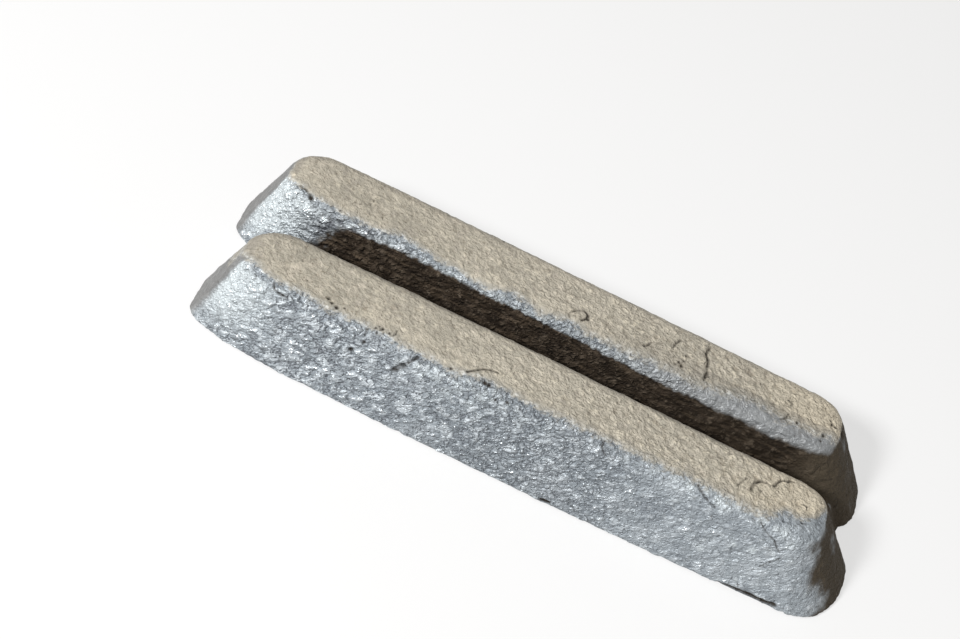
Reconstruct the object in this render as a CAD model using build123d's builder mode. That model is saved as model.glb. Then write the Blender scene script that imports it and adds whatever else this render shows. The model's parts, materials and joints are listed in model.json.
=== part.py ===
"""Twin-bar cast ingot: two tapered ridges joined along their wide side by a low web."""
from build123d import *
from math import sqrt
import os

os.makedirs("parts", exist_ok=True)

# Driving dimensions in millimetres.
# X runs along the bars, Y across them, and Z up from the wide flat foot to the narrow crests.
# The origin is at the middle of the foot.

# One bar, before its edges are worked
length = 400.0
height = 51.0
foot_width = 63.5
crest_width = 45.0
foot_bow = 2.4
crest_bow = 0.3

# How far each end draws in from the foot to the crest: the left end is the steeper one
left_end_lean = 17.5
right_end_lean = 38.5

# How much narrower the crest gets towards its right end, both sides together
crest_taper = 2.0

# Oval plan corners of a bar's foot: how far each runs along the bar, and how far across it.
# The back corners take the width that the front ones and the straight tips leave.
# The left ends of the two bars are alike.
left_front_along = 73.0
left_front_across = 16.0
left_back_along = 37.0
left_tip_width = 17.5

# Right end of the front bar
front_bar_front_along = 32.0
front_bar_front_across = 44.0
front_bar_back_along = 26.0
front_bar_tip_width = 4.0

# Right end of the back bar
back_bar_front_along = 26.0
back_bar_front_across = 28.0
back_bar_back_along = 28.0
back_bar_tip_width = 10.5

# Plan corners at the crest: how much larger than the crest's roll each one is
left_crest_along = 14.0
left_crest_across = 5.5
right_crest_along = 9.0
right_crest_across = 5.0

# Edges: the broad roll round each crest, and the bevel round the rim of the foot
crest_roll = 11.0
foot_bevel = 1.5

# Web between the bars, with a notch at each end
foot_gap = 6.2
web_thickness = 18.0
end_notch_depth = 10.0
web_end_rounding = 6.0
valley_floor_width = 1.5

half_length = length / 2
bar_offset = (foot_width + foot_gap) / 2

# Corners in the order left front, right front, right back, left back
left_front_corner = (left_front_along, left_front_across)
left_back_corner = (left_back_along, foot_width - left_front_across - left_tip_width)
front_bar_corners = (
    left_front_corner,
    (front_bar_front_along, front_bar_front_across),
    (front_bar_back_along, foot_width - front_bar_front_across - front_bar_tip_width),
    left_back_corner,
)
back_bar_corners = (
    left_front_corner,
    (back_bar_front_along, back_bar_front_across),
    (back_bar_back_along, foot_width - back_bar_front_across - back_bar_tip_width),
    left_back_corner,
)
left_crest_corner = (crest_roll + left_crest_along, crest_roll + left_crest_across)
right_crest_corner = (crest_roll + right_crest_along, crest_roll + right_crest_across)
crest_corners = (left_crest_corner, right_crest_corner, right_crest_corner, left_crest_corner)


def bar_outline(centre_y, level, left, right, width, taper, bow, corners):
    """Return a plan outline of a bar: its long sides bow out a little, and its corners are oval."""
    front = centre_y - width / 2
    back = centre_y + width / 2
    right_front_y = front + taper / 2
    right_back_y = back - taper / 2
    left_front, right_front, right_back, left_back = corners
    placed = (
        (left_front, left, front, 1, 1, 180),
        (right_front, right, right_front_y, -1, 1, 270),
        (right_back, right, right_back_y, -1, -1, 0),
        (left_back, left, back, 1, -1, 90),
    )
    front_start = left + left_front[0]
    front_end = right - right_front[0]
    back_start = right - right_back[0]
    back_end = left + left_back[0]
    with BuildSketch(Plane.XY.offset(level)) as outline:
        with BuildLine():
            for (along, across), tip_x, tip_y, inward_x, inward_y, start_angle in placed:
                centre = (tip_x + inward_x * along, tip_y + inward_y * across)
                EllipticalCenterArc(centre, along, across, start_angle)
            front_pull = ((front_start + front_end) / 2, (front + right_front_y) / 2 - 2 * bow)
            Bezier((front_start, front), front_pull, (front_end, right_front_y))
            Line((right, right_front_y + right_front[1]), (right, right_back_y - right_back[1]))
            back_pull = ((back_start + back_end) / 2, (back + right_back_y) / 2 + 2 * bow)
            Bezier((back_start, right_back_y), back_pull, (back_end, back))
            Line((left, back - left_back[1]), (left, front + left_front[1]))
        make_face()
    return outline.sketch


# The web's ends lean in as the bars' ends do
web_left = end_notch_depth - half_length
web_right = half_length - end_notch_depth
web_top_left = web_left + left_end_lean * web_thickness / height
web_top_right = web_right - right_end_lean * web_thickness / height

# The valley's bottom is as round as the narrowest gap between the flanks lets it be
flank_lean = (foot_width - crest_width) / 2 / height
gap_at_web_top = foot_gap + 2 * flank_lean * web_thickness
bow_at_web_top = foot_bow + (crest_bow - foot_bow) * web_thickness / height
valley_half_width = gap_at_web_top / 2 - bow_at_web_top - valley_floor_width / 2
valley_radius = valley_half_width / (sqrt(1 + flank_lean**2) - flank_lean)

with BuildPart() as ingot:
    # Each bar: a bevel from the flat foot out to the rim, then draft all the way up to the crest
    for centre_y, foot_corners in ((-bar_offset, front_bar_corners), (bar_offset, back_bar_corners)):
        foot = bar_outline(
            centre_y, 0, foot_bevel - half_length, half_length - foot_bevel, foot_width - 2 * foot_bevel, 0,
            foot_bow, [(along - foot_bevel, across - foot_bevel) for along, across in foot_corners],
        )
        rim = bar_outline(
            centre_y, foot_bevel, -half_length, half_length, foot_width, 0, foot_bow, foot_corners,
        )
        crest = bar_outline(
            centre_y, height, left_end_lean - half_length, half_length - right_end_lean, crest_width,
            crest_taper, crest_bow, crest_corners,
        )
        loft(sections=[foot, rim, crest], ruled=True)
    crests = ingot.faces().filter_by(Axis.Z).group_by(Axis.Z)[-1]
    fillet(crests.edges(), crest_roll)

    # The low web between them: its side view, with rounded upper ends, carried across the gap
    with BuildSketch(Plane.XZ) as web_side:
        with BuildLine():
            Polyline(
                (web_left, 0), (web_right, 0),
                (web_top_right, web_thickness), (web_top_left, web_thickness),
                close=True,
            )
        make_face()
        fillet(web_side.vertices().group_by(Axis.Y)[-1], web_end_rounding)
    extrude(amount=bar_offset, both=True)

    # The round bottom of the valley, which runs on down the corners of the two notches
    seams = ingot.edges(Select.NEW).filter_by_position(Axis.Z, foot_bevel, web_thickness + foot_bevel)
    fillet(seams, valley_radius)

ingot.part.label = "ingot"
export_step(ingot.part, "parts/ingot.step")
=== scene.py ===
"""Twin-bar cast steel ingot: its cast skin, flaws, oxide film, painted shade and painted
highlights, on a pale studio floor.
"""
import json
import math
import random

import bpy
import numpy as np
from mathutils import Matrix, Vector, noise
from mathutils.bvhtree import BVHTree
from mathutils.kdtree import KDTree

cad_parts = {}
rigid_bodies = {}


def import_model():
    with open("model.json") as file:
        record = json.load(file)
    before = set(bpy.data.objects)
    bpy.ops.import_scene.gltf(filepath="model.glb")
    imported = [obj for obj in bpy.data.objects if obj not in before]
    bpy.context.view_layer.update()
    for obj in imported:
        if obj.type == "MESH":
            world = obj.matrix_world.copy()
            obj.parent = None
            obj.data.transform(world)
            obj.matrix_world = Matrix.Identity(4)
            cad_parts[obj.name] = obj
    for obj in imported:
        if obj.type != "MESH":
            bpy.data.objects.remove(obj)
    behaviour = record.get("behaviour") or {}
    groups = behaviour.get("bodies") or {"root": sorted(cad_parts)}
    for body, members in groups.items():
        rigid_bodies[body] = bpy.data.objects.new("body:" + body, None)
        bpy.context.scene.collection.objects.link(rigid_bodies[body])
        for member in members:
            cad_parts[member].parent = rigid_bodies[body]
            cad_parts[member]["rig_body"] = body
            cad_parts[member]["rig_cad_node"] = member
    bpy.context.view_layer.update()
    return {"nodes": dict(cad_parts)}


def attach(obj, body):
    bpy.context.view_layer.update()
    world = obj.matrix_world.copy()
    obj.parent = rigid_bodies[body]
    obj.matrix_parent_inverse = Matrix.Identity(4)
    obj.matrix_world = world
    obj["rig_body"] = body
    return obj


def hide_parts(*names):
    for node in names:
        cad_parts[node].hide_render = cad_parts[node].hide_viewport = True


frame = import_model()

MM = 0.001

# The photograph's frame and view
PHOTO_WIDTH = 960
PHOTO_HEIGHT = 639
LENS = 65.94
SENSOR_WIDTH = 36
CAMERA_PLACE = (-0.1200, -0.6879, 0.7294)
CAMERA_TURN = (40.988, -20.486, 16.388)

# The fine mesh that carries the skin, and the triangles that are kept of it
GRAIN = 0.85 * MM
SOFTENING_STEPS = 6
TRIANGLES_KEPT = 196000

# The marks that the skin carries for its material: oxide film, painted shadow and shade (the mark
# named scale), spots of painted shade, painted shade in flaws, painted highlights, painted shade,
# and the relief's height
MARKS = ("oxide", "scale", "shade_spots", "painted_flaw_shade", "painted_highlight", "painted_shade", "raised")

# The relief of the cast skin: how many turns each of its forms makes in a millimetre
SWELL_REPEAT = 0.045
LUMP_REPEAT = 0.18
PEBBLE_REPEAT = 0.37
ROLLING_REPEAT = 0.17
WRINKLE_REPEAT = 0.22
RIPPLE_REPEAT = 0.05

# How high those forms stand, in millimetres, and how much higher some do at the right
SWELL_HEIGHT = 0.20
FLANK_LUMP_HEIGHT = 0.56
FLANK_PEBBLE_HEIGHT = 0.34
FLANK_ROLLING_HEIGHT = 0.30
FLANK_ROLLING_MORE = 0.42
CREST_LUMP_HEIGHT = 0.10
CREST_PEBBLE_HEIGHT = 0.06
CREST_ROLLING_HEIGHT = 0.22
CREST_ROLLING_MORE = 0.30
FLAKE_HEIGHT = 0.22
FLAKE_MORE = 0.60
FOOT_DEPTH = 0.25
FOOT_RIPPLE = 0.35

# The flanks' grain leans by this angle in degrees, and its lumps are longer along that slant:
# the relief's pattern is squeezed by the first number, the material's stretched by the second
GRAIN_SLANT = 25
GRAIN_SQUEEZE = 0.72
GRAIN_STRETCH = 1.4

# Keeps the noise alike from run to run
NOISE_SEED = 7

# Small flaws scattered over the skin
SCATTER_SEED = 41
SCATTERED_PITS = 520
SCATTERED_GRAINS = 700
SCATTERED_CRACKS = 46

# The next places are pixels of the photograph, across and down, read off it.
# These are the front edges of the beige oxide film on the two crests.
FRONT_FILM_EDGE = (
    (243, 257), (249, 262), (256, 266), (272, 279), (294, 290), (319, 305), (351, 322),
    (375, 329), (400, 347), (434, 361), (452, 372), (471, 377), (500, 387), (520, 402),
    (541, 413), (570, 424), (600, 438), (654, 466), (696, 483), (730, 502), (759, 516),
    (772, 518), (785, 513), (795, 519), (807, 522), (818, 520), (825, 513),
)
BACK_FILM_EDGE = (
    (288, 181), (293, 184), (315, 200), (333, 209), (348, 217), (364, 226), (379, 230),
    (402, 238), (419, 247), (450, 270), (476, 286), (500, 292), (522, 300), (538, 314),
    (565, 322), (592, 338), (624, 354), (649, 362), (668, 375), (688, 384), (713, 392),
    (739, 399), (760, 407), (781, 422), (800, 430), (817, 437), (830, 440),
)

# The corner lines between the flanks and the left ends, which carry painted shade
FRONT_END_EDGE = ((197, 310), (207, 299), (217, 288), (230, 274), (244, 261))
BACK_END_EDGE = ((243, 228), (262, 203), (280, 185), (293, 172))

# The upper edge of the painted shadow that the front bar casts on the back bar's flank
PAINTED_SHADOW_EDGE = (
    (371, 238), (394, 247), (419, 259), (455, 277), (491, 297), (514, 307), (538, 319),
    (558, 330), (583, 341), (611, 357), (631, 366), (652, 378), (672, 388), (698, 398),
    (719, 410), (739, 416), (761, 430), (792, 442), (822, 452),
)

# Spots of painted shade round the left end of that painted shadow: across, down, radius in mm and
# how dark
SHADE_SPOT_PLACES = (
    (306, 224, 9.0, 0.85), (296, 220, 6.0, 0.60), (301, 235, 7.0, 0.95), (318, 228, 8.0, 0.90),
    (328, 222, 6.0, 0.70), (340, 226, 6.0, 0.75), (289, 236, 6.0, 0.60), (354, 229, 5.0, 0.65),
    (384, 240, 4.0, 0.50), (366, 234, 5.0, 0.60), (321, 216, 6.0, 0.50), (346, 234, 7.0, 0.80),
    (376, 242, 5.0, 0.55), (311, 241, 6.0, 0.90), (333, 214, 5.0, 0.40),
)

# Cracks: the width and depth of each in mm, and its line
CRACKS = (
    (0.9, 1.0, ((274.5, 282.5), (274, 289), (278, 292.5), (284, 296), (288, 297))),
    (0.8, 0.9, ((367, 329), (365.5, 333), (364.8, 337))),
    (2.3, 1.5, ((394, 370), (398, 368), (402, 366), (406, 364))),
    (1.3, 1.3, ((404, 365), (409, 362), (413, 360), (418, 357))),
    (0.9, 0.9, ((467, 371.5), (475, 370.5), (483, 369), (491, 370), (499, 373))),
    (0.6, 0.6, ((380, 330.5), (385, 328.5))),
    (0.6, 0.6, ((393, 336), (396, 334), (397.5, 331))),
    (1.2, 1.2, (
        (710, 347), (708.5, 351), (706.5, 354), (708, 358), (708.6, 362), (707.5, 368),
        (708, 372), (706, 375),
    )),
    (1.3, 1.3, ((708, 373.5), (705.5, 376), (704, 380))),
    (1.0, 0.9, ((644, 345.5), (648, 345), (651, 343))),
    (1.0, 0.9, ((673, 347), (676, 344), (681, 340))),
    (0.9, 0.8, ((781, 418.5), (786, 418), (788.5, 414))),
    (1.0, 0.9, ((789, 400), (792.5, 403), (791.5, 406))),
    (0.7, 0.8, ((737, 486), (742, 482), (747, 478))),
    (1.2, 1.2, ((751.5, 490), (752.5, 486), (755, 483), (760.5, 480.5), (764, 482))),
    (0.6, 0.7, ((764, 482), (769, 485.5), (775, 486.5))),
    (0.9, 1.0, (
        (775, 486.5), (779, 482), (783, 480.5), (787.5, 482), (791, 480.5), (795, 482),
    )),
    (0.8, 0.7, ((698, 485), (701, 491), (705, 497), (709, 502), (716, 508))),
    (0.6, 0.6, (
        (760, 521), (765, 530), (770, 536), (775, 541), (777, 548), (779.5, 552.5),
    )),
    (0.6, 0.5, ((760, 566), (768, 562), (775, 560.5), (780.5, 557.5))),
    (0.9, 1.0, ((301, 186), (306, 189.5), (310, 194), (312.5, 199), (313, 202))),
    (0.6, 0.6, ((604, 441), (602, 446), (603.5, 452), (606, 456))),
)

# Chips out of the foot's front edge, laid out as the cracks are; the long first one is a painted
# shadow under the foot's lifted edge
CHIPS_AND_PAINTED_SHADOW = (
    (2.0, 1.6, (
        (718, 583), (727, 586.5), (736, 590), (744, 593.5), (752, 597), (763, 601.5),
        (775, 606),
    )),
    (1.3, 1.2, ((662, 558), (669, 561), (676, 564))),
    (1.1, 1.1, ((540, 499), (545, 501), (550, 503))),
)

# Small holes: across, down, radius and depth in mm
HOLES = (
    (329, 298, 0.75, 1.2), (332.4, 302.3, 0.75, 1.2), (337, 307.3, 0.85, 1.3),
    (344.7, 308.3, 0.5, 0.6), (350.4, 349.9, 0.95, 1.4), (352, 350.8, 0.6, 0.9),
    (363.7, 342.5, 0.85, 1.1), (451, 368.3, 0.7, 0.9), (311, 198, 1.1, 1.4),
    (681.8, 365.3, 0.8, 1.0), (679, 362, 0.6, 0.7), (684, 361, 0.55, 0.6),
    (686.3, 355.7, 0.6, 0.7), (673.5, 357, 0.5, 0.5), (676, 363.5, 0.5, 0.6),
    (588, 319.5, 0.8, 0.9), (797, 423, 0.7, 0.7), (833, 424, 0.8, 0.9),
    (836, 427.5, 0.7, 0.8), (831, 420.5, 0.6, 0.6), (841.8, 434.5, 1.0, 1.2),
    (843.5, 437.5, 0.7, 0.8), (823.5, 436, 0.8, 0.7), (821, 441, 0.6, 0.6),
    (376, 328, 0.55, 0.6), (379.5, 326.5, 0.5, 0.5), (383, 329, 0.6, 0.6),
    (376.5, 333, 0.5, 0.5), (389.5, 333.5, 0.6, 0.6), (485, 383, 0.9, 0.6),
    (489, 385, 0.9, 0.6), (495.5, 400, 0.6, 0.7), (507, 402.5, 0.7, 0.8),
    (340.5, 210.5, 0.5, 0.4), (361, 204, 0.5, 0.4), (406, 222.5, 0.45, 0.4),
    (802.5, 523, 0.6, 0.5), (804, 504.5, 0.5, 0.5), (806.5, 507, 0.45, 0.4),
    (740, 431.5, 0.5, 0.4),
)
HOLE_WIDENING = 1.35

# Raised flakes and lumps: across, down, radius and height in mm, and how much painted highlight
# they carry
LUMPS = (
    (418, 366, 3.6, 0.9, 0.8), (398, 362, 3.0, 0.6, 0.5), (386, 346, 3.0, 0.5, 0.3),
    (427, 372, 3.0, 0.5, 0.6), (476, 375, 3.4, 0.5, 0.1), (488, 373, 3.2, 0.45, 0.0),
    (495, 392, 2.6, 0.6, 0.5), (472, 384, 3.0, 0.5, 0.6), (611, 313, 3.4, 0.5, 0.1),
    (637, 308, 3.0, 0.4, 0.2), (719, 501, 5.0, 0.6, 0.8), (707, 491, 4.0, 0.4, 0.7),
    (739, 507, 4.0, 0.4, 0.5), (776, 529, 3.4, 0.6, 0.7), (757, 491, 4.0, 0.6, 0.1),
    (768, 487, 3.6, 0.5, 0.0), (744, 483, 3.4, 0.5, 0.0), (734, 545, 2.2, 0.4, 1.0),
    (752, 550, 3.4, 0.3, 0.8), (700, 549, 3.0, 0.4, 0.6), (560, 318, 2.2, 0.3, 0.3),
    (252, 298, 5.0, 0.3, 0.9), (263, 285, 4.0, 0.3, 0.9), (283, 292, 3.0, 0.4, 0.5),
    (436, 368, 1.9, 0.5, 0.9), (444, 375, 2.1, 0.5, 0.8), (447, 366, 1.6, 0.4, 0.8),
    (452, 372, 1.8, 0.5, 0.9), (455, 383, 2.0, 0.5, 0.7), (460, 377, 1.7, 0.4, 0.9),
    (440, 382, 1.8, 0.4, 0.6), (468, 381, 2.0, 0.5, 0.8), (474, 390, 2.1, 0.5, 0.7),
    (480, 385, 1.6, 0.4, 0.9), (486, 393, 2.0, 0.5, 0.8), (492, 400, 1.9, 0.5, 0.8),
    (500, 397, 1.7, 0.5, 0.9), (508, 404, 2.0, 0.5, 0.7), (428, 366, 1.9, 0.5, 0.7),
    (464, 371, 1.6, 0.4, 0.7), (675, 478, 5.0, 0.1, 0.5), (690, 486, 6.0, 0.1, 0.6),
    (727, 507, 6.0, 0.1, 0.5), (785, 533, 5.0, 0.15, 0.6), (655, 470, 4.0, 0.1, 0.4),
    (792, 546, 5.0, 0.1, 0.4), (762, 521, 5.0, 0.1, 0.5), (626, 458, 4.0, 0.1, 0.4),
    (436, 376, 5.5, 0.1, 0.5), (458, 388, 6.0, 0.1, 0.5), (480, 397, 6.0, 0.1, 0.5),
    (502, 407, 5.0, 0.1, 0.45), (446, 392, 6.0, 0.1, 0.35), (470, 405, 6.0, 0.1, 0.35),
    (524, 420, 5.0, 0.1, 0.4), (418, 374, 5.0, 0.1, 0.35), (430, 376, 1.6, 0.4, 0.6),
    (482, 379, 2.4, 0.4, 0.0), (490, 377, 2.4, 0.4, 0.0), (516, 411, 1.8, 0.4, 0.7),
)

# The flat blister on the back bar: where it is, and how far its groove reaches each way
BLISTER = (577, 315)
BLISTER_RING = (578.5, 315.5)
BLISTER_ACROSS = 9.5
BLISTER_DOWN = 5.0

# Colours of the bare steel
STEEL_DARK = (0.20, 0.225, 0.25)
STEEL_GREY = (0.26, 0.29, 0.315)
STEEL_LIGHT = (0.34, 0.37, 0.395)
STEEL_SHADED = (0.10, 0.115, 0.13)
STEEL_PALE = (0.37, 0.40, 0.42)
# Painted highlight on raised relief and painted shade in sunk relief
STEEL_RAISED_HIGHLIGHT = (0.48, 0.52, 0.55)
STEEL_SUNK_SHADE = (0.12, 0.13, 0.145)
# Painted glints as flecks on the right part of the flanks
STEEL_GLINT_FLECK = (0.52, 0.56, 0.58)
# Painted glints on the tops of the folds
STEEL_GLINT_TOP = (0.62, 0.66, 0.69)
# Painted shade in the creases
STEEL_CREASE_SHADE = (0.09, 0.10, 0.115)
# Painted highlight on the front left corners, the groove's roll, lumps and grains
STEEL_PAINTED_HIGHLIGHT = (0.57, 0.62, 0.64)
# Painted shade on the left ends, the groove edge to the right and the rolls facing back
PAINTED_SHADE_DARK = (0.145, 0.142, 0.138)
PAINTED_SHADE_LIGHT = (0.21, 0.206, 0.20)
# Painted shade in spots round the left end of the valley's painted shadow
SHADE_SPOT_GREY = (0.060, 0.062, 0.072)

# Colours of the oxide film
FILM_DARK = (0.32, 0.295, 0.24)
FILM_BEIGE = (0.39, 0.36, 0.295)
FILM_LIGHT = (0.46, 0.42, 0.34)
FILM_PALE_BLOTCH = (0.50, 0.455, 0.375)
FILM_DARK_BLOTCH = (0.34, 0.31, 0.26)
# Painted shade in sunk relief and painted highlight on raised relief
FILM_SUNK_SHADE = (0.24, 0.205, 0.155)
FILM_RAISED_HIGHLIGHT = (0.60, 0.54, 0.43)
FILM_GRAIN = (0.23, 0.20, 0.155)
FILM_DUST = (0.60, 0.54, 0.44)
FILM_DARK_FLAKE = (0.22, 0.19, 0.15)
FILM_PALE_FLAKE = (0.66, 0.60, 0.48)
FILM_STAIN = (0.20, 0.165, 0.12)
FILM_WORN = (0.62, 0.57, 0.47)
FILM_RIGHT = (0.60, 0.555, 0.46)
FILM_NOSE = (0.66, 0.58, 0.44)
# Painted shade on the film over the ends and rolls
FILM_PAINTED_SHADE = (0.22, 0.20, 0.17)
FILM_THIN = (0.30, 0.29, 0.26)
FILM_CRUMB = (0.60, 0.60, 0.57)

# Colours of the painted shadow in the valley and the painted shade on the right ends, and of the
# painted shade inside cracks and holes
PAINTED_SHADOW_BLACK = (0.009, 0.006, 0.004)
PAINTED_SHADOW_BROWN = (0.024, 0.017, 0.011)
PAINTED_SHADOW_STREAK = (0.080, 0.059, 0.040)
PAINTED_SHADOW_BLOTCH = (0.070, 0.053, 0.038)
PAINTED_SHADOW_FLAKE = (0.11, 0.088, 0.066)
PAINTED_SHADOW_DEEP = (0.012, 0.009, 0.006)
# Painted highlight on raised folds within the painted shadow
PAINTED_SHADOW_HIGHLIGHT = (0.12, 0.095, 0.07)
PAINTED_SHADE_RIGHT_END = (0.082, 0.066, 0.046)
# Painted shade inside cracks, holes and chips
FLAW_PAINTED_SHADE = (0.030, 0.025, 0.020)

FLOOR_SIZE = 6
FLOOR_GREY = (0.86, 0.86, 0.86)
FLOOR_WHITE_SHARE = 0.6
FILL_COLOUR = (1.0, 0.98, 0.95)
FILL_STRENGTH = 0.24
WHITE = (1, 1, 1)


def deselect_all():
    """Leave nothing selected, so that an operator only works on what is chosen next."""
    bpy.ops.object.select_all(action="DESELECT")
    bpy.context.view_layer.objects.active = None


def pick(piece):
    """Select one piece alone and make it active."""
    deselect_all()
    piece.select_set(True)
    bpy.context.view_layer.objects.active = piece


def set_camera():
    """Look down on the front bar as the photograph does, with the camera rolled to one side."""
    turn = [math.radians(angle) for angle in CAMERA_TURN]
    bpy.ops.object.camera_add(location=CAMERA_PLACE, rotation=turn)
    camera = bpy.context.object
    camera.name = "camera"
    camera.data.lens = LENS
    camera.data.sensor_width = SENSOR_WIDTH
    camera.data.clip_start = 0.01
    bpy.context.scene.camera = camera
    bpy.context.view_layer.update()
    return camera


def held(value):
    """Hold a number between 0 and 1."""
    return min(1.0, max(0.0, value))


def rise(low, high, value):
    """Rise smoothly from 0 at low to 1 at high."""
    t = np.clip((value - low) / (high - low), 0, 1)
    return t * t * (3 - 2 * t)


def fade(low, high, value):
    """Fall smoothly from 1 at low to 0 at high."""
    return 1 - rise(low, high, value)


def folds(spot):
    """Return round lumps with sharp creases between them, about level on the whole."""
    return 2.2 * abs(noise.noise(spot)) - 0.42


def blank_casting():
    """Copy the casting, merge its loose triangles and lay an even fine mesh over it."""
    pick(frame["nodes"]["ingot"])
    bpy.ops.object.duplicate()
    casting = bpy.context.object
    casting.name = "cast_ingot"
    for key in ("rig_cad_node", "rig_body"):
        del casting[key]
    casting.parent = None
    casting.data.materials.clear()
    pick(casting)
    bpy.ops.object.mode_set(mode="EDIT")
    bpy.ops.mesh.select_all(action="SELECT")
    bpy.ops.mesh.remove_doubles(threshold=0.000001)
    bpy.ops.object.mode_set(mode="OBJECT")
    even = casting.modifiers.new("even_mesh", "REMESH")
    even.mode = "VOXEL"
    even.voxel_size = GRAIN
    bpy.ops.object.modifier_apply(modifier=even.name)
    soft = casting.modifiers.new("soften", "SMOOTH")
    soft.factor = 0.5
    soft.iterations = SOFTENING_STEPS
    bpy.ops.object.modifier_apply(modifier=soft.name)
    return casting


class Skin:
    """The casting's surface points in millimetres, the way each faces, and its marks."""

    def __init__(self, casting, camera):
        self.mesh = casting.data
        count = len(self.mesh.vertices)
        flat = np.zeros(count * 3, np.float32)
        self.mesh.vertices.foreach_get("co", flat)
        self.place = flat.reshape(-1, 3).astype(float) / MM
        self.mesh.vertices.foreach_get("normal", flat)
        self.facing = flat.reshape(-1, 3).astype(float)
        self.smooth_place = self.place.copy()
        self.camera = camera
        self.tree = BVHTree.FromObject(casting, bpy.context.evaluated_depsgraph_get())
        self.finder = KDTree(count)
        for i, point in enumerate(self.place):
            self.finder.insert(point, i)
        self.finder.balance()
        self.detailed = np.zeros(count)
        self.marks = {name: np.zeros(count) for name in MARKS}

    def seen_at(self, across, down):
        """Return the point of the skin that the photograph shows at a pixel."""
        focal = LENS / SENSOR_WIDTH * PHOTO_WIDTH
        aim = Vector(((across - PHOTO_WIDTH / 2) / focal, (PHOTO_HEIGHT / 2 - down) / focal, -1))
        matrix = self.camera.matrix_world
        hit = self.tree.ray_cast(matrix.translation, (matrix.to_3x3() @ aim).normalized())[0]
        return None if hit is None else np.array(hit) / MM

    def points_seen(self, pixels):
        """Return the points of the skin that the photograph shows at some pixels."""
        found = [self.seen_at(*pixel) for pixel in pixels]
        return [point for point in found if point is not None]

    def line_seen(self, pixels):
        """Return the points at some pixels, sorted from left to right."""
        points = np.array(self.points_seen(pixels))
        return points[np.argsort(points[:, 0])]

    def near(self, point, radius):
        """Return the numbers of the points within a radius, and how far away they are."""
        found = self.finder.find_range(point, radius)
        numbers = np.array([f[1] for f in found], int)
        distances = np.array([f[2] for f in found])
        return numbers, distances

    def push(self, numbers, amount):
        """Move points out along the way they face, or in where the amount is below zero."""
        self.place[numbers] += self.facing[numbers] * np.asarray(amount)[:, None]

    def mark(self, name, numbers, amount):
        """Raise a mark at some points to at least an amount."""
        self.marks[name][numbers] = np.maximum(self.marks[name][numbers], amount)

    def pit(self, point, radius, depth, dark=1.0):
        """Sink a small round hole, with painted shade inside it."""
        numbers, distances = self.near(point, radius * 1.6)
        if len(numbers):
            self.push(numbers, -depth * fade(0.35, 1.5, distances / radius))
            self.detailed[numbers] = np.maximum(self.detailed[numbers], dark)
            self.mark("painted_flaw_shade", numbers, dark * fade(0.6, 1.4, distances / radius))

    def bump(self, point, radius, height, painted_highlight=0.0):
        """Raise a soft lump, with a painted highlight on it."""
        numbers, distances = self.near(point, radius)
        if len(numbers):
            dome = fade(0, 1, distances / radius)
            self.push(numbers, height * dome)
            self.mark("painted_highlight", numbers, painted_highlight * dome)

    def crack(self, points, width, depth, dark=1.0, lip=0.0, whole=0.78):
        """Open a crack along some points, its lip a little proud and painted shade inside it. It is
        unbroken if whole is 1.
        """
        reach = width * 3.2
        nearest = {}
        for start, end in zip(points[:-1], points[1:]):
            run = end - start
            length = np.linalg.norm(run)
            for step in range(int(length / (width * 0.4)) + 1):
                share = min(1, step * width * 0.4 / max(length, 1e-6))
                for _, number, distance in self.finder.find_range(start + run * share, reach):
                    if distance < nearest.get(number, reach):
                        nearest[number] = distance
        if not nearest:
            return
        numbers = np.array(list(nearest), int)
        away = np.array([nearest[n] for n in numbers]) / width
        uneven = np.array([noise.noise(Vector(self.smooth_place[n]) * 0.55) for n in numbers])
        opened = (whole + 0.7 * uneven).clip(0.3, 1)
        rim = rise(0.8, 1.5, away) * fade(1.5, 3.2, away)
        self.push(numbers, lip * rim - depth * (fade(0.2, 1.0, away) * opened))
        self.detailed[numbers] = 1
        self.mark("painted_flaw_shade", numbers, dark * opened * fade(0.30, 1.1, away))

    def write_back(self):
        """Put the worked points and their marks into the mesh."""
        self.mesh.vertices.foreach_set("co", (self.place * MM).astype(np.float32).ravel())
        for name, values in self.marks.items():
            layer = self.mesh.attributes.new(name, "FLOAT", "POINT")
            layer.data.foreach_set("value", np.clip(values, 0, 1).astype(np.float32))
        self.mesh.update()


def lay_oxide_film(skin, wander, fray):
    """Mark the beige oxide film on the crests, up to its edges on the rolls and round the ends."""
    x, y, z = skin.smooth_place.T
    across, _, up = skin.facing.T
    film = np.zeros(len(x))
    for pixels, bar in ((FRONT_FILM_EDGE, y < 0), (BACK_FILM_EDGE, y > 0)):
        edge = skin.line_seen(pixels)
        inward = y - np.interp(x, edge[:, 0], edge[:, 1]) + 0.9 * fray + 1.4 * wander
        softer = 1 + 0.3 * rise(-60, 60, x) + 0.4 * rise(0, 90, x) * (y > 0)
        film = np.where(bar, rise(-3.6, 9.0, inward / softer), film)
    over_left_end = rise(0.15, 0.70, up - 0.10 * across + 0.12 * wander)
    over_back = np.where(y > 0, rise(0.50, 0.85, up + 0.15 * wander), rise(0.10, 0.45, up))
    over_right_end = np.where(x > 100, rise(0.62, 0.80, up + 0.08 * wander), 1)
    on_crest = rise(24, 34, z)
    skin.marks["oxide"] = film * over_left_end * over_back * on_crest * over_right_end


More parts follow.
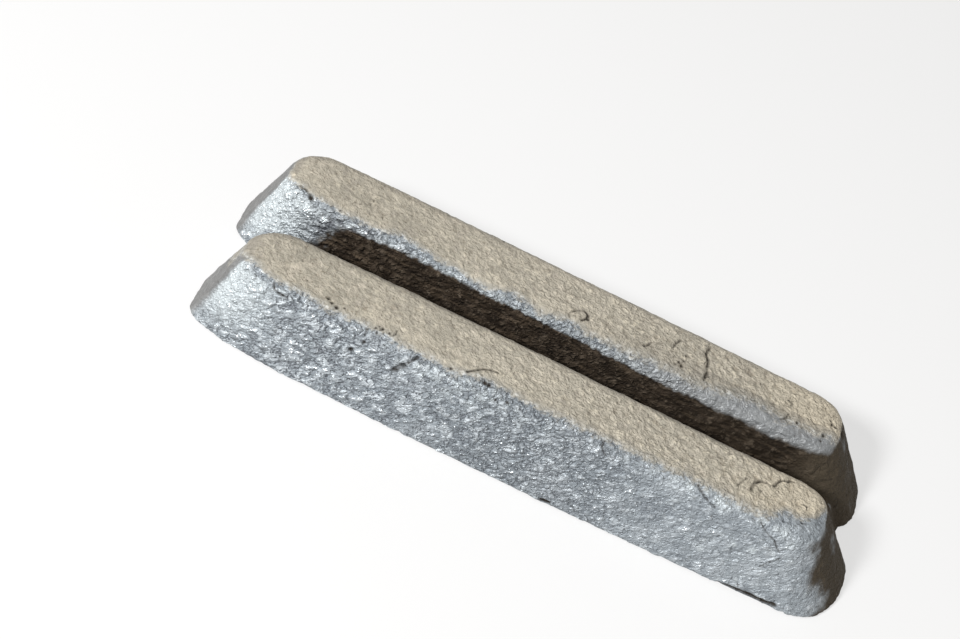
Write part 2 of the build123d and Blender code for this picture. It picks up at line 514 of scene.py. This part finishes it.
def lay_painted_shadow(skin, wander, fray):
    """Mark the painted shadow in the valley, below its edge on the back bar, and the painted shade
    on the right ends.
    """
    x, y, z = skin.smooth_place.T
    across, away, up = skin.facing.T
    # Painted shadow in the valley between the bars, below the edge of the front bar's shadow on the
    # back bar's flank
    edge = skin.line_seen(PAINTED_SHADOW_EDGE)
    level = np.interp(x, edge[:, 0], edge[:, 2])
    to_groove = np.where(y > 0, -away, away)
    in_valley = np.maximum(rise(0.10, 0.35, to_groove), fade(7, 9, np.abs(y)))
    softer = 1 + 1.4 * rise(40, 130, x)
    below_crest = fade(-2.0, 1.2, (z - level + 0.9 * fray) / softer)
    past_left_end = rise(-15, 10, x + 150 + 5 * wander + 5 * fray - 0.75 * (z - 34))
    valley = in_valley * below_crest * past_left_end
    # Painted shade on the ends that face right, away from the key lamp
    right_ends = rise(0.36, 0.88, across + 0.16 * wander + 0.05 * fray) * fade(0.66, 0.94, up)
    skin.marks["scale"] = np.maximum(valley, right_ends)


def paint_shade_spots(skin, fray):
    """Mark the spots of painted shade round the left end of the painted shadow."""
    for across, down, radius, amount in SHADE_SPOT_PLACES:
        numbers, distances = skin.near(skin.seen_at(across, down), radius * 1.4)
        ragged = distances / radius + 0.6 * fray[numbers]
        skin.mark("shade_spots", numbers, amount * fade(0.2, 1.2, ragged))


def paint_highlights_and_shade(skin, wander, fray):
    """Mark painted shade on the left ends and crest rolls, and painted highlights on the front
    corners at the left and along the groove's roll.
    """
    x, y, z = skin.smooth_place.T
    away, up = skin.facing.T[1:]
    for pixels, bar in ((FRONT_END_EDGE, y < 0), (BACK_END_EDGE, y > 0)):
        edge = skin.line_seen(pixels)
        order = np.argsort(edge[:, 2])
        inward = y - np.interp(z, edge[order, 2], edge[order, 1]) + 0.6 * fray
        # Painted shade on the left ends
        left = bar * fade(-176, -172, x + 6 * up)
        skin.marks["painted_shade"] += left * rise(-1.5, 2.0, inward)
        # Painted highlight on the front corners at the left
        corner = bar * fade(-186, -148, x + 5 * wander) * fade(-1.0, 1.5, inward) * (away < 0)
        skin.marks["painted_highlight"] += 0.9 * corner * rise(0, 26, z) * fade(0.6, 0.85, up)
    # Painted shade on the groove edge to the right and on the rolls facing back
    groove_edge = 0.7 * (y > 8) * (y < 30) * rise(-20, 90, x)
    # Painted highlight along the roll at the top of the back bar's groove side
    groove_roll = (y > 8) * (y < 22) * rise(0.15, 0.4, up) * fade(0.7, 0.95, up)
    skin.marks["painted_highlight"] += 0.45 * groove_roll * rise(-0.3, 0.5, fray) * fade(30, 120, x)
    back_roll = 0.8 * rise(0.25, 0.65, away) * rise(0.2, 0.4, up) * fade(110, 140, x)
    skin.marks["painted_shade"] = np.maximum(skin.marks["painted_shade"], np.maximum(groove_edge, back_roll))


def tarnish_and_painted_light(skin):
    """Mark the oxide film, the painted shadow and painted shade, the spots of painted shade, and
    the painted highlights and shade on the bare steel.
    """
    places = [Vector(point) for point in skin.smooth_place]
    wander = np.array([noise.fractal(place * 0.06, 0.9, 2.0, 4) for place in places])
    fray = np.array([noise.fractal(place * 0.33, 0.8, 2.0, 3) for place in places])
    lay_oxide_film(skin, wander, fray)
    lay_painted_shadow(skin, wander, fray)
    paint_shade_spots(skin, fray)
    paint_highlights_and_shade(skin, wander, fray)


def raise_cast_grain(skin):
    """Give the flanks a coarse lumpy grain, calmer to the right, and the crests a flatter one."""
    slant = math.radians(GRAIN_SLANT)
    for i, (x, y, z) in enumerate(skin.smooth_place):
        across, away, up = skin.facing[i]
        if up < -0.6:
            ripple = noise.fractal(Vector((x, y, 0)) * RIPPLE_REPEAT, 1.0, 2.0, 3)
            skin.place[i, 2] += max(0.0, FOOT_DEPTH + FOOT_RIPPLE * ripple)
            continue
        spot = Vector((x, y, z))
        top = held((up - 0.72) / 0.2)
        to_right = held((x + 20) / 150)
        on_end = held(max((across - 0.35) / 0.3, (-across - 0.6) / 0.25))
        on_roll = held((up - 0.25) / 0.2) * held((away - 0.05) / 0.35)
        calm = (1 - 0.5 * on_end) * (1 - 0.55 * on_roll)

        lean = Vector((
            GRAIN_SQUEEZE * (x * math.cos(slant) + z * math.sin(slant)),
            y,
            z * math.cos(slant) - x * math.sin(slant),
        ))
        lean += noise.noise_vector(spot * 0.35) * 1.1
        swell = noise.fractal(spot * SWELL_REPEAT, 1.0, 2.0, 3)
        lump = folds(lean * LUMP_REPEAT)
        pebble = folds(lean * PEBBLE_REPEAT + Vector((7, 3, 1)))
        rolling = noise.fractal(lean * ROLLING_REPEAT, 0.9, 2.1, 4)
        wrinkle = noise.fractal(spot * WRINKLE_REPEAT + Vector((11, 0, 5)), 0.8, 2.2, 4)

        grain = FLANK_LUMP_HEIGHT * lump + FLANK_PEBBLE_HEIGHT * pebble
        grain *= 1 - 0.5 * to_right
        coarse = grain + (FLANK_ROLLING_HEIGHT + FLANK_ROLLING_MORE * to_right) * rolling
        flake = (FLAKE_HEIGHT + FLAKE_MORE * to_right) * (1 - abs(wrinkle) - 0.8)
        fine = CREST_LUMP_HEIGHT * lump + CREST_PEBBLE_HEIGHT * pebble + flake
        fine += (CREST_ROLLING_HEIGHT + CREST_ROLLING_MORE * to_right) * rolling
        height = SWELL_HEIGHT * swell + (coarse * (1 - top) + fine * top) * calm
        # The relief's height, from which the material paints highlights on tops and shade in
        # hollows
        skin.marks["raised"][i] = 0.5 + 0.7 * (grain * (1 - top) + (flake + 0.2 * rolling) * top)
        skin.place[i] += skin.facing[i] * height


def break_skin(skin):
    """Cut the cracks, chips and holes, with painted shade inside them, and raise the lumps, with
    painted highlights, that the photograph shows.
    """
    for width, depth, line in CRACKS:
        skin.crack(skin.points_seen(line), width, depth, lip=0.18)
    for width, depth, line in CHIPS_AND_PAINTED_SHADOW:
        skin.crack(skin.points_seen(line), width, depth, whole=1.4)
    for across, down, radius, depth in HOLES:
        for point in skin.points_seen([(across, down)]):
            skin.pit(point, HOLE_WIDENING * radius, depth)
    for across, down, radius, height, painted_highlight in LUMPS:
        for point in skin.points_seen([(across, down)]):
            skin.bump(point, radius, height, painted_highlight)


def ring_blister(skin):
    """Raise the flat blister on the back bar, with the groove that runs round it and painted shade
    inside that groove.
    """
    across, down = BLISTER_RING
    turns = [math.radians(angle) for angle in range(-70, 215, 15)]
    ring = skin.points_seen([
        (across + BLISTER_ACROSS * math.cos(turn), down - BLISTER_DOWN * math.sin(turn))
        for turn in turns
    ])
    skin.crack(ring[:9], 1.0, 0.9, lip=0.15, whole=1.0)
    skin.crack(ring[9:], 0.8, 0.6, dark=0.8, lip=0.15)
    skin.bump(skin.seen_at(*BLISTER), 4.5, 0.35)


def scatter_flaws(skin):
    """Spread small pits and short cracks with painted shade inside, and small grains with painted
    highlights, over the whole skin.
    """
    chance = random.Random(SCATTER_SEED)
    count = len(skin.smooth_place)
    for _ in range(SCATTERED_PITS):
        i = chance.randrange(count)
        if skin.facing[i, 2] > -0.3:
            radius = chance.uniform(0.35, 0.8)
            depth = radius * chance.uniform(0.4, 0.9)
            skin.pit(skin.smooth_place[i], radius, depth, chance.uniform(0.15, 0.75))
    for _ in range(SCATTERED_GRAINS):
        i = chance.randrange(count)
        if -0.3 < skin.facing[i, 2] < 0.85:
            painted_highlight = chance.uniform(0.2, 0.9) * (0.25 if skin.facing[i, 1] > 0.3 else 1.0)
            radius = chance.uniform(0.7, 1.6)
            skin.bump(skin.smooth_place[i], radius, chance.uniform(0.1, 0.3), painted_highlight)
    for _ in range(SCATTERED_CRACKS):
        i = chance.randrange(count)
        if skin.facing[i, 2] < 0:
            continue
        facing = Vector(skin.facing[i])
        aside = Vector([chance.uniform(-1, 1) for _ in range(3)])
        heading = facing.cross(aside).normalized()
        line = [skin.smooth_place[i]]
        for _ in range(chance.randrange(3, 8)):
            turned = heading + facing.cross(heading) * chance.uniform(-0.8, 0.8)
            heading = turned.normalized()
            line.append(line[-1] + np.array(heading) * chance.uniform(0.8, 2.0))
        width = chance.uniform(0.35, 0.6)
        depth = chance.uniform(0.3, 0.7)
        skin.crack(line, width, depth, chance.uniform(0.4, 0.9), 0.1)


def keep_down_triangles(casting, skin):
    """Thin the mesh, least round the flaws, shade it smooth and keep it above the foot's level."""
    pick(casting)
    triangles = sum(len(face.vertices) - 2 for face in casting.data.polygons)
    away, up = skin.facing.T[1:]
    thinned = casting.vertex_groups.new(name="thinned")
    share = np.where(up < -0.6, 1.0, np.where(away > 0.3, 0.8, 0.7))
    tenths = np.round(share * (1 - 0.9 * skin.detailed) * 10)
    for tenth in range(11):
        thinned.add(np.flatnonzero(tenths == tenth).tolist(), tenth / 10, "REPLACE")
    thin = casting.modifiers.new("thin", "DECIMATE")
    thin.vertex_group = thinned.name
    thin.vertex_group_factor = 1.0
    thin.ratio = min(1.0, TRIANGLES_KEPT / triangles)
    bpy.ops.object.modifier_apply(modifier=thin.name)
    casting.vertex_groups.clear()
    bpy.ops.object.shade_smooth()
    for corner in casting.data.vertices:
        corner.co.z = max(corner.co.z, 0.0)


class Nodes:
    """A short way to set out the nodes of a material or a world."""

    def __init__(self, owner):
        owner.use_nodes = True
        self.owner = owner
        self.nodes = owner.node_tree.nodes
        self.links = owner.node_tree.links
        self.nodes.clear()

    def add(self, kind, **settings):
        """Add a node and set its options."""
        made = self.nodes.new("ShaderNode" + kind)
        for name, value in settings.items():
            setattr(made, name, value)
        return made

    def join(self, value, socket):
        """Set a socket to a number, a place or a colour, or link another node's socket to it."""
        if isinstance(value, bpy.types.NodeSocket):
            self.links.new(value, socket)
        elif socket.type == "RGBA":
            socket.default_value = (*value, 1)
        else:
            socket.default_value = value

    def feed(self, made, **inputs):
        """Join values to a node's sockets by name."""
        for name, value in inputs.items():
            self.join(value, made.inputs[name.replace("_", " ")])

    def maths(self, kind, *values):
        """Return what a sum makes of some values."""
        made = self.add("Math", operation=kind)
        for value, socket in zip(values, made.inputs):
            self.join(value, socket)
        return made.outputs["Value"]

    def times(self, first, second):
        """Return two values multiplied."""
        return self.maths("MULTIPLY", first, second)

    def plus(self, first, second):
        """Return two values added."""
        return self.maths("ADD", first, second)

    def larger(self, first, second):
        """Return the larger of two values."""
        return self.maths("MAXIMUM", first, second)

    def noise(self, place, scale, detail=3.0, roughness=0.55, distortion=0.0):
        """Return a noise pattern whose features are about 1 / scale metres across."""
        made = self.add("TexNoise")
        self.feed(made, Vector=place, Scale=scale, Detail=detail, Roughness=roughness)
        self.feed(made, Distortion=distortion)
        return made.outputs["Fac"]

    def folded(self, place, scale, detail=1.0):
        """Return round lumps with sharp creases between them."""
        middle = self.maths("SUBTRACT", self.noise(place, scale, detail, 0.5), 0.5)
        return self.times(self.maths("ABSOLUTE", middle), 4.0)

    def mark(self, name):
        """Return one of the marks on the skin."""
        return self.add("Attribute", attribute_name=name).outputs["Fac"]

    def ramp(self, value, *stops):
        """Return the colours of some stops along a value."""
        made = self.add("ValToRGB")
        band = made.color_ramp
        while len(band.elements) < len(stops):
            band.elements.new(0.5)
        for element, (position, colour) in zip(band.elements, stops):
            element.position = position
            element.color = (*colour, 1)
        self.join(value, made.inputs["Fac"])
        return made.outputs["Color"]

    def span(self, value, from_low, from_high, to_low=0.0, to_high=1.0):
        """Return a value stretched smoothly from one span to another, and held within it."""
        made = self.add("MapRange", interpolation_type="SMOOTHSTEP")
        self.feed(made, Value=value, From_Min=from_low, From_Max=from_high)
        self.feed(made, To_Min=to_low, To_Max=to_high)
        return made.outputs["Result"]

    def over(self, share, below, colour):
        """Return a colour laid over another by a share."""
        made = self.add("Mix", data_type="RGBA")
        for value, socket in zip((share, below, colour), (made.inputs[i] for i in (0, 6, 7))):
            self.join(value, socket)
        return made.outputs[2]

    def slide(self, share, first, second):
        """Return a number between two others."""
        made = self.add("Mix", data_type="FLOAT")
        for value, socket in zip((share, first, second), (made.inputs[i] for i in (0, 2, 3))):
            self.join(value, socket)
        return made.outputs[0]

    def bump(self, height, strength, distance, below=None, invert=False):
        """Return the surface's tilt under a height pattern, on top of the bumps below it."""
        made = self.add("Bump", invert=invert)
        self.feed(made, Height=height, Strength=strength, Distance=distance)
        if below is not None:
            self.feed(made, Normal=below)
        return made.outputs["Normal"]

    def mixed(self, share, first, second):
        """Return one surface or background mixed with another."""
        made = self.add("MixShader")
        for value, socket in zip((share, first, second), made.inputs):
            self.join(value, socket)
        return made.outputs["Shader"]

    def looked_at(self):
        """Return 1 for the camera, gloss and clear materials, and 0 for the light on things."""
        view = self.add("LightPath")
        seen = self.larger(view.outputs["Is Camera Ray"], view.outputs["Is Glossy Ray"])
        return self.larger(seen, view.outputs["Is Transmission Ray"])


class SkinPatterns:
    """The marks and patterns that the skin's colours, gloss and bumps are made from."""

    def __init__(self, steel):
        self.raised = steel.mark("raised")
        self.film = steel.mark("oxide")
        # The mark named scale holds painted shadow in the valley and painted shade on the right
        # ends
        self.scale = steel.mark("scale")
        self.shade_spots = steel.mark("shade_spots")
        self.painted_flaw_shade = steel.mark("painted_flaw_shade")
        self.painted_highlight = steel.mark("painted_highlight")
        self.painted_shade = steel.mark("painted_shade")

        self.place = steel.add("TexCoord").outputs["Object"]
        drawn_out = steel.add("Mapping")
        steel.feed(drawn_out, Vector=self.place, Scale=(0.16, 1.0, 1.0))
        leaning = steel.add("Mapping", vector_type="TEXTURE")
        turn = (0, math.radians(-GRAIN_SLANT), 0)
        steel.feed(leaning, Vector=self.place, Rotation=turn, Scale=(GRAIN_STRETCH, 1.0, 1.0))
        self.slanting = leaning.outputs["Vector"]
        apart = steel.add("SeparateXYZ")
        steel.feed(apart, Vector=self.place)
        self.along = apart.outputs["X"]
        self.past_left = steel.span(self.along, -0.13, 0.0)

        self.patches = steel.noise(self.place, 42, 3)
        self.blotches = steel.noise(self.place, 150, 3)
        self.ragged = steel.maths("MULTIPLY_ADD", self.blotches, 0.5, -0.25)
        self.flakes = steel.noise(self.place, 280, 4, 0.60, 0.4)
        self.grains = steel.noise(self.place, 620, 2, 0.6)
        self.dust = steel.noise(self.place, 1300, 2, 0.6)
        self.streaks = steel.noise(drawn_out.outputs["Vector"], 420, 3, 0.6)
        self.crinkles = self.crinkled(steel)
        self.bright = self.glinting_crinkle_tops(steel)

    def crinkled(self, steel):
        """Return the small folds of the cast skin, which are finer in the middle of its length."""
        finer = steel.times(self.past_left, steel.span(self.along, 0.03, 0.11, 1.0, 0.25))
        coarse_folds = steel.folded(self.slanting, 195, 2.0)
        fine_folds = steel.folded(self.slanting, 320, 2.0)
        lumps = steel.folded(self.slanting, 640)
        return steel.plus(steel.slide(finer, coarse_folds, fine_folds), steel.times(lumps, 0.32))

    def glinting_crinkle_tops(self, steel):
        """Return the tops of the folds that carry painted glints: fewer to the right and under the
        spots of painted shade.
        """
        bright = steel.times(
            steel.span(self.crinkles, 0.56, 0.98), steel.span(self.painted_shade, 0.0, 1.0, 1.0, 0.15),
        )
        sparse = steel.larger(
            steel.span(self.blotches, 0.44, 0.60, 0.25, 1.0),
            steel.span(self.along, -0.06, 0.08, 1.0, 0.0),
        )
        bright = steel.times(bright, sparse)
        return steel.times(bright, steel.span(self.shade_spots, 0.0, 1.0, 1.0, 0.7))


def bare_steel(steel, look):
    """Return the bare steel's colour: mottled silver, shaded in the middle, with painted highlights
    and glints on raised tops, corners and flecks, and painted shade in creases, in spots and on the
    ends and rolls.
    """
    silver = steel.ramp(look.patches, (0.30, STEEL_DARK), (0.5, STEEL_GREY), (0.72, STEEL_LIGHT))
    in_middle = steel.times(look.past_left, steel.span(look.along, 0.03, 0.10, 0.22, 0.0))
    silver = steel.over(in_middle, silver, STEEL_SHADED)
    silver = steel.over(steel.span(look.along, 0.02, 0.12, 0.0, 0.12), silver, STEEL_PALE)
    mottled = steel.span(look.along, -0.12, 0.0, 1.0, 0.6)
    # Painted highlight on raised relief and painted shade in sunk relief
    high = steel.times(steel.span(look.raised, 0.54, 0.80), mottled)
    silver = steel.over(high, silver, STEEL_RAISED_HIGHLIGHT)
    low = steel.times(steel.span(look.raised, 0.44, 0.22), mottled)
    silver = steel.over(low, silver, STEEL_SUNK_SHADE)
    # Painted glints as flecks to the right
    glint_flecks = steel.span(steel.noise(look.slanting, 190, 2), 0.60, 0.74)
    glint_flecks = steel.times(glint_flecks, steel.span(look.along, 0.02, 0.10))
    silver = steel.over(steel.times(glint_flecks, 0.6), silver, STEEL_GLINT_FLECK)
    # Spots of painted shade
    shade_spot_share = steel.times(look.shade_spots, steel.span(look.blotches, 0.62, 0.40, 0.65, 1.0))
    silver = steel.over(shade_spot_share, silver, SHADE_SPOT_GREY)
    # Painted glints on the tops of the folds
    silver = steel.over(steel.times(look.bright, 0.8), silver, STEEL_GLINT_TOP)
    # Painted shade in the creases
    crease_shade = steel.span(look.crinkles, 0.26, 0.04)
    crease_shade = steel.times(crease_shade, steel.span(look.along, -0.06, 0.10, 1.0, 0.6))
    silver = steel.over(crease_shade, silver, STEEL_CREASE_SHADE)
    # Painted highlights on corners, lumps and grains
    silver = steel.over(look.painted_highlight, silver, STEEL_PAINTED_HIGHLIGHT)
    # Painted shade on the left ends and rolls
    even = steel.ramp(look.blotches, (0.3, PAINTED_SHADE_DARK), (0.7, PAINTED_SHADE_LIGHT))
    return steel.over(steel.times(look.painted_shade, 0.9), silver, even)


def beige_film(steel, look):
    """Return the oxide film's colour: beige and flaky, paler to the right and thin at its edge,
    with painted highlights on raised relief and painted shade in hollows and on the ends and rolls.
    """
    beige = steel.ramp(look.patches, (0.30, FILM_DARK), (0.5, FILM_BEIGE), (0.72, FILM_LIGHT))
    beige = steel.over(steel.span(look.blotches, 0.5, 0.70), beige, FILM_PALE_BLOTCH)
    beige = steel.over(steel.span(look.blotches, 0.46, 0.30), beige, FILM_DARK_BLOTCH)
    # Painted shade in sunk relief and painted highlight on raised relief
    beige = steel.over(steel.span(look.raised, 0.46, 0.20), beige, FILM_SUNK_SHADE)
    beige = steel.over(steel.span(look.raised, 0.56, 0.72), beige, FILM_RAISED_HIGHLIGHT)
    beige = steel.over(steel.span(look.grains, 0.43, 0.28), beige, FILM_GRAIN)
    beige = steel.over(steel.span(look.dust, 0.66, 0.80), beige, FILM_DUST)
    flaky = steel.span(look.along, -0.14, 0.06, 0.45, 1.0)
    dark_flakes = steel.times(steel.span(look.flakes, 0.43, 0.30), flaky)
    beige = steel.over(dark_flakes, beige, FILM_DARK_FLAKE)
    pale_flakes = steel.times(steel.span(look.flakes, 0.54, 0.68), flaky)
    beige = steel.over(pale_flakes, beige, FILM_PALE_FLAKE)
    stains = steel.times(steel.span(steel.noise(look.place, 200, 4, 0.65), 0.42, 0.30), flaky)
    beige = steel.over(steel.times(stains, 0.8), beige, FILM_STAIN)
    worn = steel.times(steel.span(steel.noise(look.slanting, 130, 4, 0.65), 0.56, 0.68), flaky)
    beige = steel.over(steel.times(worn, 0.5), beige, FILM_WORN)
    beige = steel.over(steel.span(look.along, -0.14, 0.02, 0.0, 0.28), beige, FILM_RIGHT)
    beige = steel.over(steel.span(look.along, 0.09, 0.15, 0.0, 0.45), beige, FILM_NOSE)
    # Painted shade on the film over the ends and rolls
    beige = steel.over(steel.times(look.painted_shade, 0.6), beige, FILM_PAINTED_SHADE)
    thickness = steel.plus(look.film, steel.times(look.ragged, 0.8))
    beige = steel.over(steel.span(thickness, 0.85, 0.35, 0.0, 0.7), beige, FILM_THIN)
    near_edge = steel.times(steel.span(look.film, 0.05, 0.15), steel.span(look.film, 0.60, 0.35))
    crumbs = steel.span(steel.noise(look.slanting, 480, 2), 0.50, 0.62)
    crumbs = steel.times(steel.times(near_edge, crumbs), 0.7)
    return steel.over(crumbs, beige, FILM_CRUMB)


def painted_shadow_colour(steel, look):
    """Return the colour of the painted shadow and shade: nearly black, with brown streaks along the
    valley.
    """
    scale = steel.ramp(
        look.streaks, (0.30, PAINTED_SHADOW_BLACK), (0.5, PAINTED_SHADOW_BROWN), (0.72, PAINTED_SHADOW_STREAK),
    )
    scale = steel.over(steel.span(look.blotches, 0.50, 0.75), scale, PAINTED_SHADOW_BLOTCH)
    scale = steel.over(steel.span(look.flakes, 0.58, 0.74), scale, PAINTED_SHADOW_FLAKE)
    scale = steel.over(steel.span(look.along, -0.06, 0.06, 0.0, 0.4), scale, PAINTED_SHADOW_DEEP)
    # Painted highlights on raised folds within the painted shadow
    tops = steel.times(steel.span(look.crinkles, 0.46, 0.85), 0.42)
    scale = steel.over(tops, scale, PAINTED_SHADOW_HIGHLIGHT)
    # A lighter brown painted shade at the right ends
    right_end = steel.times(steel.span(look.along, 0.135, 0.165), 0.75)
    return steel.over(right_end, scale, PAINTED_SHADE_RIGHT_END)


def film_cover(steel, look):
    """Return where the film covers the steel, with a crumbly edge."""
    crumbly = steel.maths("MULTIPLY_ADD", steel.noise(look.slanting, 430, 3, 0.65), 1.3, -0.65)
    on_edge = steel.times(steel.span(look.film, 0.0, 0.12), steel.span(look.film, 0.60, 0.40))
    spread = steel.plus(steel.times(look.ragged, 0.5), steel.times(crumbly, on_edge))
    return steel.span(steel.plus(look.film, steel.times(spread, 0.6)), 0.07, 0.42)


def skin_bumps(steel, look, filmed):
    """Return the skin's fine bumps: crinkles or flakes, then grains, dust and dimples."""
    on_steel = steel.span(look.along, -0.06, 0.12, 1.0, 0.7)
    on_steel = steel.slide(steel.times(look.painted_shade, 0.8), on_steel, 0.3)
    on_steel = steel.slide(look.painted_highlight, on_steel, 0.95)
    on_film = steel.span(look.along, -0.14, 0.10, 0.50, 0.9)
    strength = steel.slide(filmed, on_steel, on_film)
    pits = steel.add("TexVoronoi", feature="F1")
    steel.feed(pits, Vector=look.slanting, Scale=560.0)
    height = steel.slide(filmed, look.crinkles, steel.times(look.flakes, 2.2))
    rough = steel.bump(height, strength, 0.0018)
    grainy = steel.bump(look.grains, steel.slide(filmed, on_steel, 0.8), 0.0005, rough)
    dusty = steel.bump(look.dust, 0.4, 0.0002, grainy)
    return steel.bump(pits.outputs["Distance"], strength, 0.0003, dusty, invert=True)


def cast_skin():
    """Silvery cast steel, with a beige oxide film on its crests, painted shadow in its valley and
    painted shade on its right ends.
    """
    steel = Nodes(bpy.data.materials.new("cast_skin"))
    look = SkinPatterns(steel)
    filmed = film_cover(steel, look)
    # The mark named scale is painted shadow and painted shade
    shadowed = steel.span(steel.plus(look.scale, steel.times(look.ragged, 0.6)), 0.2, 0.85)
    dark = steel.larger(shadowed, look.painted_flaw_shade)

    colour = steel.over(filmed, bare_steel(steel, look), beige_film(steel, look))
    colour = steel.over(shadowed, colour, painted_shadow_colour(steel, look))
    # Painted shade inside cracks, holes and chips
    colour = steel.over(look.painted_flaw_shade, colour, FLAW_PAINTED_SHADE)
    metal = steel.slide(filmed, steel.slide(look.bright, 0.30, 0.80), 0.10)
    roughness = steel.slide(filmed, steel.slide(look.bright, 0.48, 0.27), 0.66)

    surface = steel.add("BsdfPrincipled")
    steel.feed(surface, Base_Color=colour, Metallic=steel.slide(dark, metal, 0.0))
    steel.feed(surface, Roughness=steel.slide(dark, roughness, 0.75))
    steel.feed(surface, Specular_IOR_Level=steel.slide(dark, 0.5, 0.12))
    steel.feed(surface, Normal=skin_bumps(steel, look, filmed))
    steel.feed(steel.add("OutputMaterial"), Surface=surface.outputs["BSDF"])
    return steel.owner


def studio_floor():
    """A wide pale floor, which keeps the ingot's shadow and is as white as its backdrop."""
    deselect_all()
    bpy.ops.mesh.primitive_plane_add(size=FLOOR_SIZE)
    floor = bpy.context.object
    floor.name = "studio_floor"
    paint = Nodes(bpy.data.materials.new("pale_floor"))
    matt = paint.add("BsdfDiffuse")
    paint.feed(matt, Color=FLOOR_GREY)
    white = paint.add("Emission")
    paint.feed(white, Color=WHITE, Strength=1.0)
    share = paint.times(paint.looked_at(), FLOOR_WHITE_SHARE)
    both = paint.mixed(share, matt.outputs["BSDF"], white.outputs["Emission"])
    paint.feed(paint.add("OutputMaterial"), Surface=both)
    floor.data.materials.append(paint.owner)


def studio_world():
    """A dim even fill, which the camera and the metal's gloss see as white."""
    backdrop = Nodes(bpy.data.worlds.new("studio"))
    fill = backdrop.add("Background")
    backdrop.feed(fill, Color=FILL_COLOUR, Strength=FILL_STRENGTH)
    white = backdrop.add("Background")
    backdrop.feed(white, Color=WHITE, Strength=1.0)
    both = backdrop.mixed(backdrop.looked_at(), fill.outputs[0], white.outputs[0])
    backdrop.feed(backdrop.add("OutputWorld"), Surface=both)
    bpy.context.scene.world = backdrop.owner


def softbox(name, azimuth, elevation, distance, size, power, colour):
    """Hang a square lamp round the ingot, turned to face it."""
    flat = math.cos(math.radians(elevation)) * distance
    place = Vector((
        flat * math.cos(math.radians(azimuth)),
        flat * math.sin(math.radians(azimuth)),
        distance * math.sin(math.radians(elevation)),
    ))
    bpy.ops.object.light_add(type="AREA", location=place)
    lamp = bpy.context.object
    lamp.name = name
    lamp.data.size = size
    lamp.data.energy = power
    lamp.data.color = colour
    lamp.rotation_euler = (-place).to_track_quat("-Z", "Y").to_euler()


noise.seed_set(NOISE_SEED)
camera = set_camera()
casting = blank_casting()
skin = Skin(casting, camera)
tarnish_and_painted_light(skin)
raise_cast_grain(skin)
break_skin(skin)
ring_blister(skin)
scatter_flaws(skin)
skin.write_back()
keep_down_triangles(casting, skin)
casting.data.materials.append(cast_skin())
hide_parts("ingot")
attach(casting, "root")

studio_floor()
studio_world()
softbox("key_lamp", 228, 36, distance=2.6, size=0.4, power=78, colour=(1.0, 1.0, 1.0))
softbox("top_lamp", 250, 75, distance=2.6, size=1.4, power=10, colour=(1.0, 0.95, 0.88))
bpy.context.scene.view_settings.view_transform = "Standard"
